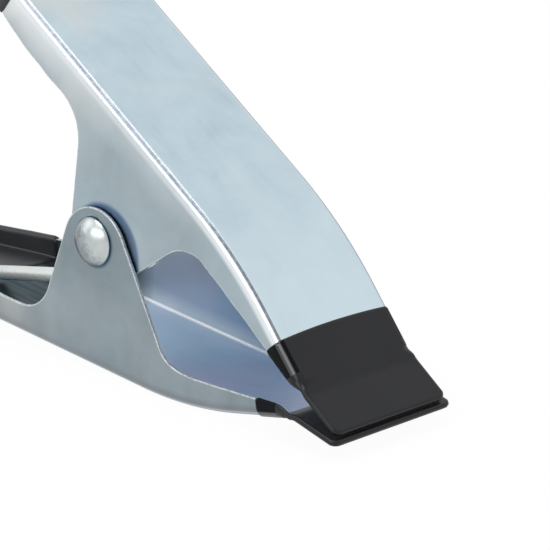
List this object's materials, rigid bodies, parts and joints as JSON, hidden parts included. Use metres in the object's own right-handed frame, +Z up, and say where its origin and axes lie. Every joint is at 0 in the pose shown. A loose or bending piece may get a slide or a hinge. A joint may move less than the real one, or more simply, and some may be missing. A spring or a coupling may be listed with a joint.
{
  "type": "spring clamp",
  "caption": "Pressed steel spring clamp: two channel arms crossing at a rivet, a torsion spring between the handles, and dipped vinyl coats on the jaws and handles.",
  "frame": {"origin": "centre of the bounding box's underside, on the surface on which the shut clamp lies on its lower arm", "axes": "+X towards the jaws' tips, +Y along the rivet, +Z up"},
  "size_m": [0.159, 0.0366, 0.1045],
  "materials": {
    "zinc_sheet": "bluish zinc plate on pressed steel sheet",
    "rivet_steel": "bright zinc plate",
    "spring_wire": "zinc plated spring wire",
    "black_vinyl": "satin dipped vinyl"
  },
  "bodies": {
    "lower_half": {"lower_arm": "zinc_sheet", "rivet": "rivet_steel", "torsion_spring": "spring_wire", "lower_jaw_cap": "black_vinyl", "lower_grip": "black_vinyl"},
    "upper_half": {"upper_arm": "zinc_sheet", "upper_jaw_cap": "black_vinyl", "upper_grip": "black_vinyl"}
  },
  "joints": [
    {"name": "pivot", "type": "hinge", "parent": "lower_half", "child": "upper_half", "pos_m": [0.01436, 0, 0.0268], "axis": [0, -1, 0], "range_deg": [0, 44], "stiffness_Nm_per_rad": 4.6, "springref_deg": -28.65, "deforming": ["torsion_spring"]}
  ]
}
